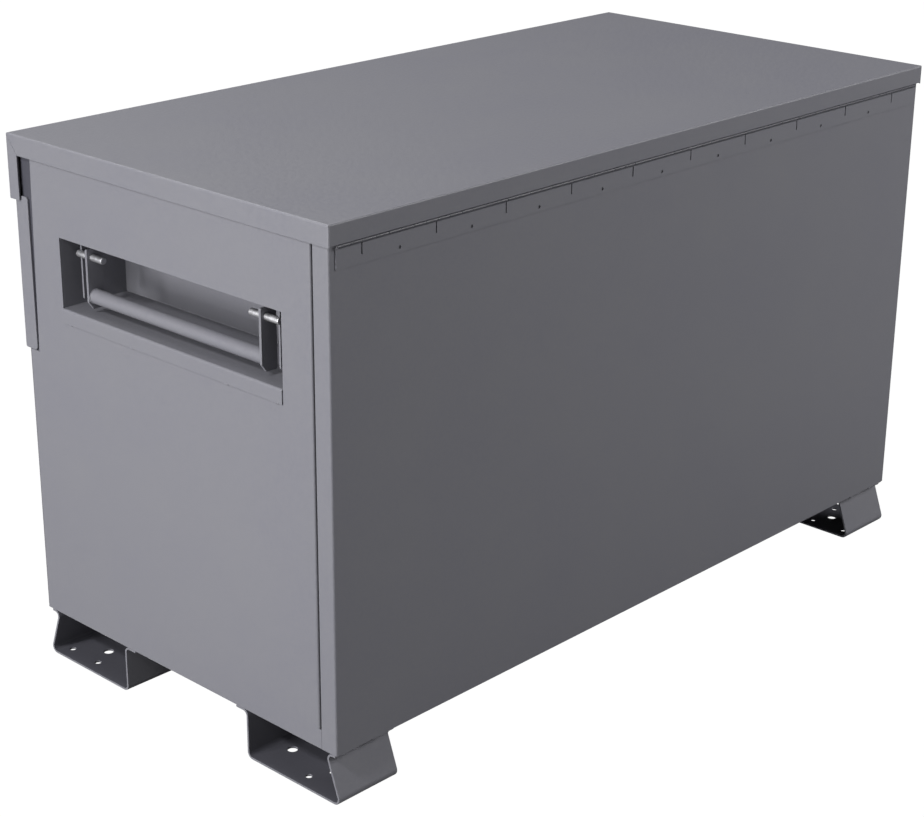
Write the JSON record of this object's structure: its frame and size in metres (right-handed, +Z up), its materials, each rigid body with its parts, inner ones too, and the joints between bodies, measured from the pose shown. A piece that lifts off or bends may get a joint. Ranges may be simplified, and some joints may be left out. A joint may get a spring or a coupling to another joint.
{
  "type": "jobsite storage box",
  "caption": "Long sheet-steel storage chest on channel skid feet, with a full-length hinged lid on gas struts, padlock wells behind a front guard and a recessed drop handle in each end.",
  "frame": {"origin": "Centre of the footprint, on the ground under the feet", "axes": "+X along the length, +Y from the lock front to the hinge back, +Z up"},
  "size_m": [1.226, 0.6172, 0.7523],
  "materials": {
    "body_paint": "semi-matt grey powder coat",
    "zinc_steel": "zinc plated, satin",
    "black_paint": "black enamel, semi-gloss"
  },
  "bodies": {
    "body": {"floor_pan": "body_paint", "back_panel": "body_paint", "front_panel": "body_paint", "end_panel_right": "body_paint", "end_panel_left": "body_paint", "lock_guard": "body_paint", "lock_well_right": "body_paint", "lock_well_left": "body_paint", "lock_eye_right": "body_paint", "lock_eye_left": "body_paint", "hinge_body_leaf": "body_paint", "hinge_pin": "zinc_steel", "handle_pocket_right": "body_paint", "handle_pocket_left": "body_paint", "handle_pin_back_right": "zinc_steel", "handle_pin_back_left": "zinc_steel", "handle_pin_front_right": "zinc_steel", "handle_pin_front_left": "zinc_steel", "pivot_ear_back_right": "body_paint", "pivot_ear_back_left": "body_paint", "pivot_ear_front_right": "body_paint", "pivot_ear_front_left": "body_paint", "skid_foot_back_right": "body_paint", "skid_foot_back_left": "body_paint", "skid_foot_front_right": "body_paint", "skid_foot_front_left": "body_paint", "strut_body_bracket_right": "body_paint", "strut_body_bracket_left": "body_paint", "strut_body_stud_right": "zinc_steel", "strut_body_stud_left": "zinc_steel"},
    "lid": {"lid_pan": "body_paint", "lid_stiffener_right": "body_paint", "lid_stiffener_left": "body_paint", "hinge_lid_leaf": "body_paint", "lid_hasp_right": "body_paint", "lid_hasp_left": "body_paint", "strut_lid_bracket_right": "body_paint", "strut_lid_bracket_left": "body_paint", "strut_lid_stud_right": "zinc_steel", "strut_lid_stud_left": "zinc_steel"},
    "handle_right": {"handle_grip_right": "body_paint", "handle_arm_back_right": "body_paint", "handle_arm_front_right": "body_paint"},
    "strut_cylinder_right": {"strut_cylinder_right": "black_paint"},
    "strut_rod_right": {"strut_rod_right": "zinc_steel"},
    "handle_left": {"handle_grip_left": "body_paint", "handle_arm_back_left": "body_paint", "handle_arm_front_left": "body_paint"},
    "strut_cylinder_left": {"strut_cylinder_left": "black_paint"},
    "strut_rod_left": {"strut_rod_left": "zinc_steel"}
  },
  "joints": [
    {"name": "lid_hinge", "type": "hinge", "parent": "body", "child": "lid", "pos_m": [0, 0.30634, 0.7234], "axis": [-1, 0, 0], "range_deg": [0, 80]},
    {"name": "handle_pivot_right", "type": "hinge", "parent": "body", "child": "handle_right", "pos_m": [0.5935, 0.00614, 0.6095], "axis": [0, -1, 0], "range_deg": [0, 90]},
    {"name": "strut_pivot_right", "type": "hinge", "parent": "body", "child": "strut_cylinder_right", "pos_m": [0.565, 0.27914, 0.662], "axis": [-1, 0, 0], "range_deg": [0, 72.1]},
    {"name": "strut_slide_right", "type": "slide", "parent": "strut_cylinder_right", "child": "strut_rod_right", "axis": [0, -0.9731, 0.2302], "range_m": [0, 0.0782]},
    {"name": "handle_pivot_left", "type": "hinge", "parent": "body", "child": "handle_left", "pos_m": [-0.5935, 0.00614, 0.6095], "axis": [0, 1, 0], "range_deg": [0, 90]},
    {"name": "strut_pivot_left", "type": "hinge", "parent": "body", "child": "strut_cylinder_left", "pos_m": [-0.565, 0.27914, 0.662], "axis": [-1, 0, 0], "range_deg": [0, 72.1]},
    {"name": "strut_slide_left", "type": "slide", "parent": "strut_cylinder_left", "child": "strut_rod_left", "axis": [0, -0.9731, 0.2302], "range_m": [0, 0.0782]}
  ],
  "couplings": [
    {"joint": "strut_pivot_right", "follows": "lid_hinge", "ratio": 0.90118},
    {"joint": "strut_slide_right", "follows": "lid_hinge", "m_per_rad": 0.055957},
    {"joint": "strut_pivot_left", "follows": "lid_hinge", "ratio": 0.90118},
    {"joint": "strut_slide_left", "follows": "lid_hinge", "m_per_rad": 0.055957}
  ]
}
